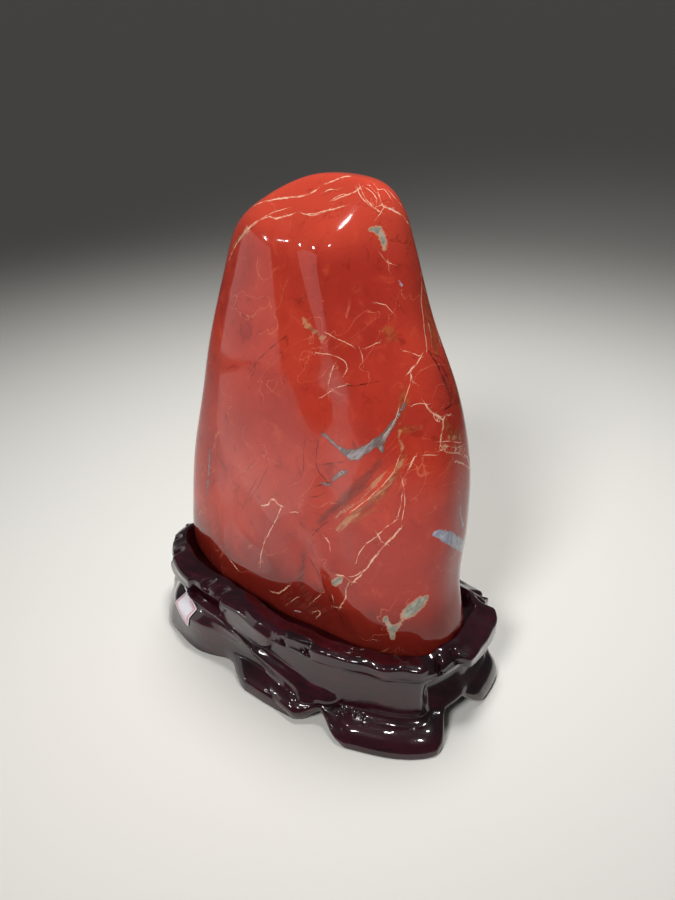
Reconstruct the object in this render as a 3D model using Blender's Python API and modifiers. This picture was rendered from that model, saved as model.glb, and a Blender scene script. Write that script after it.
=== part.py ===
"""Polished red jasper display stone standing in a carved and lacquered hardwood stand.

Run it with blender --background --python part.py, or from the text editor.
Lengths in the constants are millimetres, and the meshes are in metres.
+X runs along the stand, the broad front looks along -Y, and the table is at z = 0.
"""

import math

import bmesh
import bpy
import numpy as np
from mathutils import Matrix

MM = 0.001
GAP = 0.35

# The constants below are measured from a point under the stone, and this is the middle of the outline
OUTLINE_MIDDLE = (-28.0, 9.1)

# Stone: one row for each 15 degrees of latitude, from the buried foot to the crown.
# Height, middle in x, middle in y, half length and half depth of the section.
STONE_LEVELS = (
    (26.5, -28.0, 19.0, 0.0, 0.0),
    (27.0, -28.0, 19.0, 42.0, 14.0),
    (30.0, -31.0, 21.0, 92.0, 29.0),
    (44.0, -30.5, 21.0, 120.5, 37.0),
    (88.0, -32.5, 19.5, 118.0, 38.5),
    (134.0, -27.5, 18.5, 116.0, 39.5),
    (180.0, -22.0, 18.0, 110.0, 38.5),
    (226.0, -22.0, 18.5, 100.0, 36.0),
    (272.0, -25.0, 19.5, 83.0, 32.0),
    (312.0, -23.5, 19.5, 69.5, 29.0),
    (336.0, -15.0, 19.0, 52.5, 24.0),
    (349.0, -6.0, 18.0, 29.0, 14.0),
    (352.0, -1.0, 16.0, 0.0, 0.0),
)
# The right end is thicker than the left, and comes forward
STONE_TAPER = 0.24
STONE_YAW = 0.04
STONE_SQUARENESS = 0.75
# Broad ground flats: a point of each, which way it faces and how soft its edge is
STONE_FLATS = (
    ((-10.0, -9.5, 311.0), (-0.10, -0.85, 0.50), 4.0),
    ((-75.0, -12.5, 255.0), (-0.49, -0.86, 0.14), 6.0),
    ((36.0, -15.0, 270.0), (0.42, -0.88, 0.24), 7.0),
    ((-58.0, 8.0, 338.5), (-0.50, -0.10, 0.86), 8.0),
    ((25.0, 53.0, 190.0), (0.30, 0.94, 0.16), 8.0),
    ((-85.0, 55.0, 150.0), (-0.28, 0.95, 0.12), 8.0),
)
# Soft dents pressed into the front: from, to, radius and depth, where a negative depth swells out
STONE_DENTS = (
    ((-31.0, -10.0, 317.0), (5.0, -25.0, 220.0), 15.0, 2.5),
    ((5.0, -25.0, 220.0), (17.0, -26.0, 110.0), 14.0, 2.5),
    ((-12.0, -23.0, 105.0), (24.0, -21.0, 50.0), 11.0, 1.8),
    ((40.0, -18.0, 56.0), (80.0, -14.0, 56.0), 30.0, -5.5),
    ((-90.0, -10.0, 50.0), (-40.0, -16.0, 50.0), 26.0, -5.0),
    ((-85.0, -10.0, 125.0), (-70.0, -10.0, 85.0), 32.0, 2.5),
)

# Stand: the rim seen from above, counter-clockwise from the left end
RIM = (
    (-166.0, 11.0),
    (-146.0, -17.0),
    (-104.0, -36.0),
    (-62.0, -44.0),
    (-21.0, -54.0),
    (20.0, -56.0),
    (58.0, -50.0),
    (88.0, -38.0),
    (103.0, -13.0),
    (105.0, 22.0),
    (97.0, 56.0),
    (70.0, 77.0),
    (20.0, 84.0),
    (-50.0, 79.0),
    (-112.0, 66.0),
    (-155.0, 41.0),
)
SEAT_MIDDLE = (-28.0, 19.0)
# Profile from the middle of the underside, out round the skirt and rim and into the seat.
# Distance outside the rim line, height in an arch, and share of the way in to the middle.
STAND_PROFILE = (
    (-20.0, 14.0, 1.0),
    (-20.0, 14.0, 0.5),
    (-20.0, 14.0, 0.1),
    (-18.0, 13.5, 0.0),
    (-12.0, 13.0, 0.0),
    (-5.0, 13.0, 0.0),
    (-1.5, 15.5, 0.0),
    (-2.5, 18.5, 0.0),
    (-5.0, 21.5, 0.0),
    (-8.5, 24.5, 0.0),
    (-11.0, 28.0, 0.0),
    (-12.0, 31.5, 0.0),
    (-10.5, 35.0, 0.0),
    (-7.0, 39.0, 0.0),
    (-2.0, 42.0, 0.0),
    (0.0, 45.5, 0.0),
    (-1.0, 49.0, 0.0),
    (-5.0, 52.0, 0.0),
    (-10.0, 55.0, 0.0),
    (-13.5, 56.5, 0.0),
    (-15.5, 53.0, 0.0),
    (-17.5, 47.0, 0.0),
    (-19.5, 43.5, 0.03),
    (-20.0, 41.0, 0.15),
    (-20.0, 39.0, 0.5),
    (-20.0, 38.5, 1.0),
)
# Rows of the profile: inner edge of the soles, crest of the fold, lower edge of the lip, sloping band
SOLE_ROW = 4
FOLD_ROW = 12
LIP_ROW = 14
BAND_ROW = 17
# Each foot: where round the rim its sole starts and ends, how long the arch takes to fall to it
# and to rise from it, how far it reaches out and how high its bulge goes
FEET = (
    (1.6, 2.2, 0.9, 1.8, 13.0, 27.0),
    (3.8, 4.8, 0.9, 0.6, 13.0, 9.0),
    (5.9, 7.3, 0.9, 0.7, 22.0, 9.0),
    (9.0, 9.8, 0.6, 0.6, 7.5, 13.0),
    (11.5, 12.5, 0.6, 0.6, 8.0, 16.0),
    (13.9, 14.9, 0.6, 0.6, 8.0, 16.0),
)
# How far each foot's toe is rounded over rather than hollow, and the heights it rounds between
ROUND_TOES = (0.0, 0.3, 1.0, 0.6, 0.6, 0.6)
TOE_HEIGHTS = (1.0, 15.0)
ARCH_HEIGHT = 12.0
# The skirt is drawn down to the soles below these heights, and a foot's bulge fades over its shoulder
SKIRT_DRAWN_DOWN = (13.0, 28.0)
FOOT_SHOULDER = np.array((-3.0, 10.0))
# Scalloped lobes of the rim: middle, half width, how far each swells out and how far its face hangs down
LOBES = (
    (1.5, 0.35, 1.5, 4.0),
    (3.4, 0.62, 2.0, 8.0),
    (9.3, 0.80, 3.0, 2.0),
    (11.3, 0.65, 3.0, 6.0),
    (13.3, 0.65, 3.0, 6.0),
    (15.1, 0.50, 3.0, 4.0),
)
# Heights over which a lobe's face fades in at its foot and out at its top
LOBE_FOOT = np.array((38.0, 44.0))
LOBE_TOP = np.array((47.0, 53.0))
# A shallow groove runs round the skirt under the rim's edge, and the lobes stand out of it
GROOVE_HEIGHT = 46.0
GROOVE_WIDTH = 5.0
GROOVE_DEPTH = 1.5
# The fold that sweeps down the skirt: height of its crest at rim points 1 to 6
FOLD_CRESTS = ((38.0,), (38.5,), (36.5,), (29.5,), (20.0,), (14.5,))
FOLD_STARTS = (1.1, 2.1)
FOLD_ENDS = (5.2, 6.1)
FOLD_OUT = 5.0
FOLD_HOLLOW = 8.0
FOLD_HOLLOW_REACH = 13.0
# The upright wall under the front of the rim: where it starts and ends, its foot and how far out it stands
WALL_STARTS = (2.6, 3.8)
WALL_ENDS = (7.15, 7.6)
WALL_FOOT = (8.0, 14.0)
WALL_OUT = -0.5

# Paper label: width, height and thickness, where it is stuck, which way it looks and how it is turned
LABEL_SIZE = (18.0, 24.0, 0.25)
LABEL_AT = (-109.1, -40.2, 27.9)
LABEL_BEARING = -24.3
LABEL_LEAN = 22.3
LABEL_TURN = 73.9
LABEL_CELLS = 12
LABEL_LIFT = 0.6

STONE_CELLS = 16
STAND_COLUMNS = 96


def spline(rows, place, closed=False):
    """Catmull-Rom curve through numbered rows, read at fractional numbers, level at open ends."""
    rows = np.asarray(rows, float)
    count = len(rows)
    whole = np.floor(place).astype(int)
    part = (place - whole)[:, None]

    def row(step):
        index = whole + step
        if closed:
            return rows[index % count]
        index = np.abs(index)
        return rows[np.where(index > count - 1, 2 * (count - 1) - index, index)]

    before, start, end, after = row(-1), row(0), row(1), row(2)
    curve = 3 * (start - end) + after - before
    bend = 2 * before - 5 * start + 4 * end - after
    return start + 0.5 * part * (end - before + part * (bend + part * curve))


def ramp(value, low, high):
    """Smooth step from 0 at low to 1 at high."""
    part = np.clip((value - low) / (high - low), 0.0, 1.0)
    return part * part * (3.0 - 2.0 * part)


def apart(place, middle):
    """Signed distance round the rim, counted in rim points."""
    half = len(RIM) / 2
    return (place - middle + half) % len(RIM) - half


def stone_surface(unit):
    """Points of a unit sphere moved onto the stone."""
    levels = np.array(STONE_LEVELS)
    latitudes = np.radians(np.linspace(-90, 90, len(levels)))
    levels[1:-1, 3:] /= np.cos(latitudes[1:-1, None])
    levels[0, 3:] = levels[1, 3:]
    levels[-1, 3:] = levels[-2, 3:]
    latitude = np.arcsin(np.clip(unit[:, 2], -1, 1))
    level = spline(levels, (latitude / math.pi + 0.5) * (len(levels) - 1))
    height, middle_x, middle_y, half_x, half_y = level.T
    bearing = np.arctan2(unit[:, 1], unit[:, 0])
    power = 2.0 + STONE_SQUARENESS * np.cos(latitude) ** 2
    swell = (np.abs(np.cos(bearing)) ** power + np.abs(np.sin(bearing)) ** power) ** (-1.0 / power)
    x = middle_x + half_x * unit[:, 0] * swell
    y = middle_y + half_y * unit[:, 1] * swell * (1.0 + STONE_TAPER * unit[:, 0])
    y = y - STONE_YAW * (x - middle_x)
    points = np.stack([x, y, height], 1)
    for at, facing, soft in STONE_FLATS:
        facing = np.array(facing) / np.linalg.norm(facing)
        over = (points - at) @ facing
        points -= 0.5 * (over + np.hypot(over, soft))[:, None] * facing
    for start, end, radius, depth in STONE_DENTS:
        start = np.array(start)
        run = np.array(end) - start
        share = np.clip((points - start) @ run / (run @ run), 0.0, 1.0)
        near = np.linalg.norm(points - start - share[:, None] * run, axis=1) / radius
        points[:, 1] += depth * np.exp(-near * near)
    return points


def stand_surface(unit):
    """Points of a unit sphere moved onto the stand: longitude runs round the rim, latitude along the profile."""
    place = (np.arctan2(unit[:, 1], unit[:, 0]) / (2 * math.pi) + 0.5) % 1.0 * len(RIM)
    along = np.arcsin(np.clip(unit[:, 2], -1, 1)) / math.pi + 0.5
    rim = spline(RIM, place, closed=True)
    ahead = spline(RIM, place + 0.05, closed=True) - spline(RIM, place - 0.05, closed=True)
    ahead /= np.linalg.norm(ahead, axis=1)[:, None]
    outward = np.stack([ahead[:, 1], -ahead[:, 0]], 1)
    station = along * (len(STAND_PROFILE) - 1)
    out, height, inward = spline(STAND_PROFILE, station).T
    outside = ramp(station, SOLE_ROW, SOLE_ROW + 1) * (1 - ramp(station, BAND_ROW, BAND_ROW + 2))

    crest = spline(FOLD_CRESTS, np.clip(place - 1, 0, len(FOLD_CRESTS) - 1))[:, 0]
    folded = ramp(place, *FOLD_STARTS) * (1 - ramp(place, *FOLD_ENDS)) * outside
    edge, knee, lip = (STAND_PROFILE[row][1] for row in (SOLE_ROW + 1, FOLD_ROW, LIP_ROW))
    swept = np.interp(height, (edge, knee, lip), (0, 1, 2))
    swept = np.where(swept < 1, edge + swept * (crest - edge), crest + (swept - 1) * (lip - crest))
    moved = folded * (station > SOLE_ROW + 1) * (station < LIP_ROW)
    height = height + (swept - height) * moved
    below = FOLD_OUT - FOLD_HOLLOW * ramp(crest - height, 0.0, FOLD_HOLLOW_REACH)
    out = out + (below - out) * folded * (1 - ramp(station, FOLD_ROW, FOLD_ROW + 1))

    upright = ramp(place, *WALL_STARTS) * (1 - ramp(place, *WALL_ENDS)) * outside * ramp(height, *WALL_FOOT)
    out = out + np.maximum(WALL_OUT - out, 0.0) * upright

    lowered = ramp(station, SOLE_ROW - 1, SOLE_ROW) * (1 - ramp(height, *SKIRT_DRAWN_DOWN))
    pushed = ramp(station, SOLE_ROW - 2, SOLE_ROW + 1)
    soles = []
    for start, end, lead_in, lead_out, far, top in FEET:
        soles.append(ramp(apart(place, start), -lead_in, 0) * (1 - ramp(apart(place, end), 0, lead_out)))
    foot = np.max(soles, axis=0)
    height = height - foot * lowered * np.minimum(ARCH_HEIGHT + 1, height)
    for sole, rounded, (start, end, lead_in, lead_out, far, top) in zip(soles, ROUND_TOES, FEET):
        shoulder = 1 - ramp(height, *(FOOT_SHOULDER + top))
        toe = np.sqrt(1 - np.clip((height - TOE_HEIGHTS[0]) / (TOE_HEIGHTS[1] - TOE_HEIGHTS[0]), 0, 1) ** 2)
        out = out + sole * far * pushed * (shoulder + rounded * (toe - shoulder))

    groove = GROOVE_DEPTH * np.exp(-(((height - GROOVE_HEIGHT) / GROOVE_WIDTH) ** 2))
    out = out - groove * outside * (1 - upright)
    for middle, half, swell, drop in LOBES:
        here = 1 - ramp(np.abs(apart(place, middle)), 0.7 * half, 1.3 * half)
        face = here * ramp(height, *(LOBE_FOOT - drop)) * (1 - ramp(height, *LOBE_TOP)) * outside
        out = out + (swell - out) * face

    line = rim + outward * out[:, None]
    line = line + (np.array(SEAT_MIDDLE) - line) * inward[:, None]
    return np.stack([line[:, 0], line[:, 1], height], 1)


def in_frame(points):
    """Modelling millimetres to the part's own metres."""
    return (points - (*OUTLINE_MIDDLE, 0.0)) * MM


def shaped(name, mesh_maker, surface):
    """A new mesh object whose unit sphere has been moved onto a surface."""
    shape = bmesh.new()
    mesh_maker(shape)
    unit = np.array([vertex.co[:] for vertex in shape.verts])
    unit /= np.linalg.norm(unit, axis=1)[:, None]
    for vertex, point in zip(shape.verts, in_frame(surface(unit))):
        vertex.co = point
    bmesh.ops.recalc_face_normals(shape, faces=shape.faces)
    mesh = bpy.data.meshes.new(name)
    shape.to_mesh(mesh)
    shape.free()
    mesh.shade_smooth()
    return bpy.data.objects.new(name, mesh)


def cube_sphere(shape):
    """A cube whose faces are cut into even cells, to be blown up into a sphere with no poles."""
    bmesh.ops.create_cube(shape, size=2.0)
    bmesh.ops.subdivide_edges(shape, edges=shape.edges[:], cuts=STONE_CELLS - 1, use_grid_fill=True)
    for vertex in shape.verts:
        vertex.co = [math.tan(side * math.pi / 4) for side in vertex.co]


def ringed_sphere(shape):
    rings = len(STAND_PROFILE) - 1
    bmesh.ops.create_uvsphere(shape, u_segments=STAND_COLUMNS, v_segments=rings, radius=1.0)


def material(name, colour, roughness, coat=0.0):
    made = bpy.data.materials.new(name)
    made.use_nodes = True
    surface = made.node_tree.nodes["Principled BSDF"]
    surface.inputs["Base Color"].default_value = (*colour, 1.0)
    surface.inputs["Roughness"].default_value = roughness
    surface.inputs["Coat Weight"].default_value = coat
    return made


def carve_socket(stand, stone, cutters):
    """The seat is cut to the stone's own foot, with a gap all round."""
    cutter = bpy.data.objects.new("socket_cutter", stone.data)
    cutter.hide_render = True
    cutter.display_type = "WIRE"
    cutters.objects.link(cutter)
    grow = cutter.modifiers.new("grow", "DISPLACE")
    grow.strength = GAP * MM
    grow.mid_level = 0.0
    socket = stand.modifiers.new("socket", "BOOLEAN")
    socket.operation = "DIFFERENCE"
    socket.solver = "EXACT"
    socket.object = cutter


def paper_label(stand):
    """A thin sheet laid on the leg: it follows the wood a hair above it."""
    shape = bmesh.new()
    bmesh.ops.create_grid(shape, x_segments=LABEL_CELLS, y_segments=LABEL_CELLS, size=0.5)
    size = Matrix.Diagonal((LABEL_SIZE[0] * MM, LABEL_SIZE[1] * MM, 1.0, 1.0))
    bmesh.ops.transform(shape, matrix=size, verts=shape.verts)
    mesh = bpy.data.meshes.new("price_label")
    shape.to_mesh(mesh)
    shape.free()
    label = bpy.data.objects.new("price_label", mesh)
    facing = Matrix.Rotation(math.radians(LABEL_BEARING), 4, "Z") @ Matrix.Rotation(math.radians(90.0 - LABEL_LEAN), 4, "X")
    turned = facing @ Matrix.Rotation(math.radians(LABEL_TURN), 4, "Z")
    label.matrix_world = Matrix.Translation(in_frame(np.array(LABEL_AT))) @ turned
    lay = label.modifiers.new("lay", "SHRINKWRAP")
    lay.target = stand
    lay.wrap_method = "PROJECT"
    lay.wrap_mode = "ABOVE_SURFACE"
    lay.use_project_z = True
    lay.use_negative_direction = True
    lay.use_positive_direction = True
    lay.offset = LABEL_LIFT * MM
    paper = label.modifiers.new("paper", "SOLIDIFY")
    paper.thickness = LABEL_SIZE[2] * MM
    paper.offset = 1.0
    return label


def collection(name, shown=True):
    made = bpy.data.collections.new(name)
    bpy.context.scene.collection.children.link(made)
    made.hide_render = not shown
    return made


def build():
    for old in list(bpy.data.objects):
        bpy.data.objects.remove(old)
    parts = collection("jasper_stone_on_stand")
    cutters = collection("cutters", shown=False)

    stone = shaped("stone", cube_sphere, stone_surface)
    stone.data.materials.append(material("polished_red_jasper", (0.42, 0.032, 0.018), 0.12))
    parts.objects.link(stone)

    stand = shaped("stand", ringed_sphere, stand_surface)
    stand.data.materials.append(material("lacquered_hardwood", (0.020, 0.003, 0.008), 0.15, 1.0))
    parts.objects.link(stand)
    carve_socket(stand, stone, cutters)

    label = paper_label(stand)
    label.data.materials.append(material("label_paper", (0.80, 0.78, 0.76), 0.6))
    parts.objects.link(label)


build()
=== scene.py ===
"""Looks for a polished red jasper stone standing in a carved and lacquered hardwood stand."""

import math

import bmesh
import bpy
import numpy as np
from mathutils import Matrix, Vector
from mathutils.bvhtree import BVHTree


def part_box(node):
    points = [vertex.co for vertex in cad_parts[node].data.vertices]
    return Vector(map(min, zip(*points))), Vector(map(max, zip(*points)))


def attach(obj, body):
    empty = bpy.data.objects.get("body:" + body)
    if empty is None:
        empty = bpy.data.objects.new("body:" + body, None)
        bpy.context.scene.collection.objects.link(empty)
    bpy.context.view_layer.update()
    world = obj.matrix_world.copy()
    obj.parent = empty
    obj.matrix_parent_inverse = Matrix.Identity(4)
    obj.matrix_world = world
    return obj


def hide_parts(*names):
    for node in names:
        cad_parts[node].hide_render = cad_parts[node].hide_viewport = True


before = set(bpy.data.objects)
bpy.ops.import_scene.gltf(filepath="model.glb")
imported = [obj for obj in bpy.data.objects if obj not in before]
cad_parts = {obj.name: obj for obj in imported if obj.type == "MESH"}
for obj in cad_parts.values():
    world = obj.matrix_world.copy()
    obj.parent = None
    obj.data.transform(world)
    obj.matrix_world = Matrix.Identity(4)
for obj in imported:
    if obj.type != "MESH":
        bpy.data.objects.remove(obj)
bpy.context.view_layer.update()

MM = 0.001
GAP = 0.35  # play between the stone and its seat, in mm
OUTLINE_MIDDLE = (-28.0, 9.1)  # where the part's own origin lies in x and y, in mm

# The two shapes, from the same values as the solids, cut finer

# Height, middle in x, middle in y, half length and half depth, every 15 degrees of latitude
STONE_LEVELS = (
    (26.5, -28.0, 19.0, 0.0, 0.0),
    (27.0, -28.0, 19.0, 42.0, 14.0),
    (30.0, -31.0, 21.0, 92.0, 29.0),
    (44.0, -30.5, 21.0, 120.5, 37.0),
    (88.0, -32.5, 19.5, 118.0, 38.5),
    (134.0, -27.5, 18.5, 116.0, 39.5),
    (180.0, -22.0, 18.0, 110.0, 38.5),
    (226.0, -22.0, 18.5, 100.0, 36.0),
    (272.0, -25.0, 19.5, 83.0, 32.0),
    (312.0, -23.5, 19.5, 69.5, 29.0),
    (336.0, -15.0, 19.0, 52.5, 24.0),
    (349.0, -6.0, 18.0, 29.0, 14.0),
    (352.0, -1.0, 16.0, 0.0, 0.0),
)
STONE_TAPER = 0.24  # how much deeper its right end is than its middle, as a share
STONE_YAW = 0.04  # how far it is turned, clockwise from above, in radians
STONE_SQUARENESS = 0.75  # what its outline from above adds to the power of 2 of an ellipse
# Broad ground flats: a point of each, which way it faces and how soft its edge is
STONE_FLATS = (
    ((-10.0, -9.5, 311.0), (-0.10, -0.85, 0.50), 4.0),
    ((-75.0, -12.5, 255.0), (-0.49, -0.86, 0.14), 6.0),
    ((36.0, -15.0, 270.0), (0.42, -0.88, 0.24), 7.0),
    ((-58.0, 8.0, 338.5), (-0.50, -0.10, 0.86), 8.0),
    ((25.0, 53.0, 190.0), (0.30, 0.94, 0.16), 8.0),
    ((-85.0, 55.0, 150.0), (-0.28, 0.95, 0.12), 8.0),
)
# Soft dents pressed into the front: from, to, radius and depth, where a negative depth swells out
STONE_DENTS = (
    ((-31.0, -10.0, 317.0), (5.0, -25.0, 220.0), 15.0, 2.5),
    ((5.0, -25.0, 220.0), (17.0, -26.0, 110.0), 14.0, 2.5),
    ((-12.0, -23.0, 105.0), (24.0, -21.0, 50.0), 11.0, 1.8),
    ((40.0, -18.0, 56.0), (80.0, -14.0, 56.0), 30.0, -5.5),
    ((-90.0, -10.0, 50.0), (-40.0, -16.0, 50.0), 26.0, -5.0),
    ((-85.0, -10.0, 125.0), (-70.0, -10.0, 85.0), 32.0, 2.5),
)

# The rim seen from above, counter-clockwise from the left end
RIM = (
    (-166.0, 11.0),
    (-146.0, -17.0),
    (-104.0, -36.0),
    (-62.0, -44.0),
    (-21.0, -54.0),
    (20.0, -56.0),
    (58.0, -50.0),
    (88.0, -38.0),
    (103.0, -13.0),
    (105.0, 22.0),
    (97.0, 56.0),
    (70.0, 77.0),
    (20.0, 84.0),
    (-50.0, 79.0),
    (-112.0, 66.0),
    (-155.0, 41.0),
)
SEAT_MIDDLE = (-28.0, 19.0)
# Distance outside the rim line, height in an arch, and share of the way in to the middle
STAND_PROFILE = (
    (-20.0, 14.0, 1.0),
    (-20.0, 14.0, 0.5),
    (-20.0, 14.0, 0.1),
    (-18.0, 13.5, 0.0),
    (-12.0, 13.0, 0.0),
    (-5.0, 13.0, 0.0),
    (-1.5, 15.5, 0.0),
    (-2.5, 18.5, 0.0),
    (-5.0, 21.5, 0.0),
    (-8.5, 24.5, 0.0),
    (-11.0, 28.0, 0.0),
    (-12.0, 31.5, 0.0),
    (-10.5, 35.0, 0.0),
    (-7.0, 39.0, 0.0),
    (-2.0, 42.0, 0.0),
    (0.0, 45.5, 0.0),
    (-1.0, 49.0, 0.0),
    (-5.0, 52.0, 0.0),
    (-10.0, 55.0, 0.0),
    (-13.5, 56.5, 0.0),
    (-15.5, 53.0, 0.0),
    (-17.5, 47.0, 0.0),
    (-19.5, 43.5, 0.03),
    (-20.0, 41.0, 0.15),
    (-20.0, 39.0, 0.5),
    (-20.0, 38.5, 1.0),
)
# Rows of the profile that the carving is placed by
SOLE_ROW = 4
FOLD_ROW = 12
LIP_ROW = 14
EDGE_ROW = 15
BAND_ROW = 17
RIDGE_ROW = 19
# Each foot: where round the rim its sole starts and ends, lead in, lead out, and how far out and how high
# its bulge goes
FEET = (
    (1.6, 2.2, 0.9, 1.8, 13.0, 27.0),
    (3.8, 4.8, 0.9, 0.6, 13.0, 9.0),
    (5.9, 7.3, 0.9, 0.7, 22.0, 9.0),
    (9.0, 9.8, 0.6, 0.6, 7.5, 13.0),
    (11.5, 12.5, 0.6, 0.6, 8.0, 16.0),
    (13.9, 14.9, 0.6, 0.6, 8.0, 16.0),
)
# How far each foot's toe is rounded over rather than hollow, and the heights it rounds between
ROUND_TOES = (0.0, 0.3, 1.0, 0.6, 0.6, 0.6)
TOE_HEIGHTS = (1.0, 15.0)
ARCH_HEIGHT = 12.0
SKIRT_DRAWN_DOWN = (13.0, 28.0)  # drawn down to the feet wholly at the first height, not at all at the second
FOOT_SHOULDER = np.array((-3.0, 10.0))  # the same for how far a foot bulges, from the height of its bulge
# Lobes of the rim: middle, half width, how far each swells out and how far its face hangs down
LOBES = (
    (1.5, 0.35, 1.5, 4.0),
    (3.4, 0.62, 2.0, 8.0),
    (9.3, 0.80, 3.0, 2.0),
    (11.3, 0.65, 3.0, 6.0),
    (13.3, 0.65, 3.0, 6.0),
    (15.1, 0.50, 3.0, 4.0),
)
LOBE_FOOT = 41.0
LOBE_TOP = (47.0, 53.0)
GROOVE_HEIGHT = 46.0
GROOVE_WIDTH = 5.0
GROOVE_DEPTH = 1.5
# The fold: heights of its crest from one rim point to the next, from point 1 on, where it starts and ends
# round the rim, how far out its crest stands, and how deep and how high the hollow under it is
FOLD_CRESTS = ((38.0,), (38.5,), (36.5,), (29.5,), (20.0,), (14.5,))
FOLD_STARTS = (1.1, 2.1)
FOLD_ENDS = (5.2, 6.1)
FOLD_OUT = 5.0
FOLD_HOLLOW = 8.0
FOLD_HOLLOW_REACH = 13.0
# The crest is double, with a narrow groove just under it: rows from the fold's own, half width and size
FOLD_CREASES = ((-0.9, 0.45, -1.3), (0.0, 0.35, 0.8))
# The upright wall: where it starts and ends round the rim, its foot and how far out it stands
WALL_STARTS = (2.6, 3.8)
WALL_ENDS = (7.15, 7.6)
WALL_FOOT = (8.0, 14.0)
WALL_OUT = -0.5

# Fine carving that only the looks carry
RIM_STEP = 42.0  # mean distance between rim points, in mm
ROW_STEP = 4.5  # mean distance between profile rows on the band of the rim, in mm
# Petals under the lobes: how much wider than its lobe each is cut, and how soft its sides and lower edge are
PETAL_SPREAD = 1.15
PETAL_SIDES = (0.9, 1.1)
PETAL_EDGE = 1.0
# Chisel gouges across the band of the rim, in pairs between the lobes: place round the rim
GOUGES = (0.34, 1.04, 2.22, 2.60, 4.30, 4.82, 7.70, 8.22, 10.3, 10.7, 12.1, 12.5, 14.1, 14.5, 15.7)
GOUGE_ROW = BAND_ROW - 0.6
GOUGE_DEPTH = 3.8
GOUGE_HALF_WIDTH = 3.0
GOUGE_HALF_LENGTH = 5.5
GOUGE_BEND = 0.12
GOUGE_AIM = (-0.6, -0.8)  # inwards and down
# Waves of the rim's edges: how many go round and how high each stands
RIM_WAVER = ((9, 0.7), (14, 0.55), (23, 0.4))
WAVER_OUT = 0.8  # how far the waves go out for each millimetre that they rise

# The label: its size, where it lies on the left leg, and in degrees which way it faces, how far it leans
# back and how far it is turned in its own plane
LABEL_SIZE = (18.0, 24.0, 0.25)
LABEL_AT = (-109.1, -40.2, 27.9)
LABEL_BEARING = -24.3
LABEL_LEAN = 22.3
LABEL_TURN = 73.9
LABEL_LIFT = 0.6
LABEL_CELLS = (24, 32)

STONE_CELLS = 120
SOCKET_CELLS = 40
STAND_COLUMNS = 192
SHORTEST_EDGE = 0.02  # shorter ones that the seat's cut leaves are closed up, in mm


def spline(rows, place, closed=False):
    """Catmull-Rom curve through numbered rows, read at fractional numbers, level at open ends."""
    rows = np.asarray(rows, float)
    count = len(rows)
    whole = np.floor(place).astype(int)
    part = (place - whole)[:, None]

    def row(step):
        index = whole + step
        if closed:
            return rows[index % count]
        index = np.abs(index)
        return rows[np.where(index > count - 1, 2 * (count - 1) - index, index)]

    before, start, end, after = row(-1), row(0), row(1), row(2)
    curve = 3 * (start - end) + after - before
    bend = 2 * before - 5 * start + 4 * end - after
    return start + 0.5 * part * (end - before + part * (bend + part * curve))


def ramp(value, low, high):
    """Smooth step from 0 at low to 1 at high."""
    part = np.clip((value - low) / (high - low), 0.0, 1.0)
    return part * part * (3.0 - 2.0 * part)


def bump(value, middle, width):
    return np.exp(-(((value - middle) / width) ** 2))


def apart(place, middle):
    """Signed distance round the rim, counted in rim points."""
    half = len(RIM) / 2
    return (place - middle + half) % len(RIM) - half


def stone_surface(unit):
    """Points of a unit sphere moved onto the stone."""
    levels = np.array(STONE_LEVELS)
    # The levels give half sizes at the surface, so the narrowing of the sphere itself is taken out of them
    latitudes = np.radians(np.linspace(-90, 90, len(levels)))
    levels[1:-1, 3:] /= np.cos(latitudes[1:-1, None])
    levels[0, 3:] = levels[1, 3:]
    levels[-1, 3:] = levels[-2, 3:]
    latitude = np.arcsin(np.clip(unit[:, 2], -1, 1))
    level = spline(levels, (latitude / math.pi + 0.5) * (len(levels) - 1))
    height, middle_x, middle_y, half_x, half_y = level.T
    bearing = np.arctan2(unit[:, 1], unit[:, 0])
    power = 2.0 + STONE_SQUARENESS * np.cos(latitude) ** 2
    swell = (np.abs(np.cos(bearing)) ** power + np.abs(np.sin(bearing)) ** power) ** (-1.0 / power)
    x = middle_x + half_x * unit[:, 0] * swell
    y = middle_y + half_y * unit[:, 1] * swell * (1.0 + STONE_TAPER * unit[:, 0])
    y = y - STONE_YAW * (x - middle_x)
    points = np.stack([x, y, height], 1)
    for at, facing, soft in STONE_FLATS:
        facing = np.array(facing) / np.linalg.norm(facing)
        over = (points - at) @ facing
        # What stands over the flat comes down to it, and its edge is rounded
        points -= 0.5 * (over + np.hypot(over, soft))[:, None] * facing
    for start, end, radius, depth in STONE_DENTS:
        start = np.array(start)
        run = np.array(end) - start
        share = np.clip((points - start) @ run / (run @ run), 0.0, 1.0)
        near = np.linalg.norm(points - start - share[:, None] * run, axis=1) / radius
        points[:, 1] += depth * np.exp(-near * near)
    return points


def folded(place, station, out, height, outside):
    """The fold that sweeps down along the front, hollow under its crest."""
    crest = spline(FOLD_CRESTS, np.clip(place - 1, 0, len(FOLD_CRESTS) - 1))[:, 0]
    here = ramp(place, *FOLD_STARTS) * (1 - ramp(place, *FOLD_ENDS)) * outside
    edge, knee, lip = (STAND_PROFILE[row][1] for row in (SOLE_ROW + 1, FOLD_ROW, LIP_ROW))
    swept = np.interp(height, (edge, knee, lip), (0, 1, 2))
    swept = np.where(swept < 1, edge + swept * (crest - edge), crest + (swept - 1) * (lip - crest))
    height = height + (swept - height) * here * (station > SOLE_ROW + 1) * (station < LIP_ROW)
    below = FOLD_OUT - FOLD_HOLLOW * ramp(crest - height, 0.0, FOLD_HOLLOW_REACH)
    out = out + (below - out) * here * (1 - ramp(station, FOLD_ROW, FOLD_ROW + 1))
    for rows_up, half, size in FOLD_CREASES:
        out = out + size * here * bump(station, FOLD_ROW + rows_up, half)
    return out, height


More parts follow.
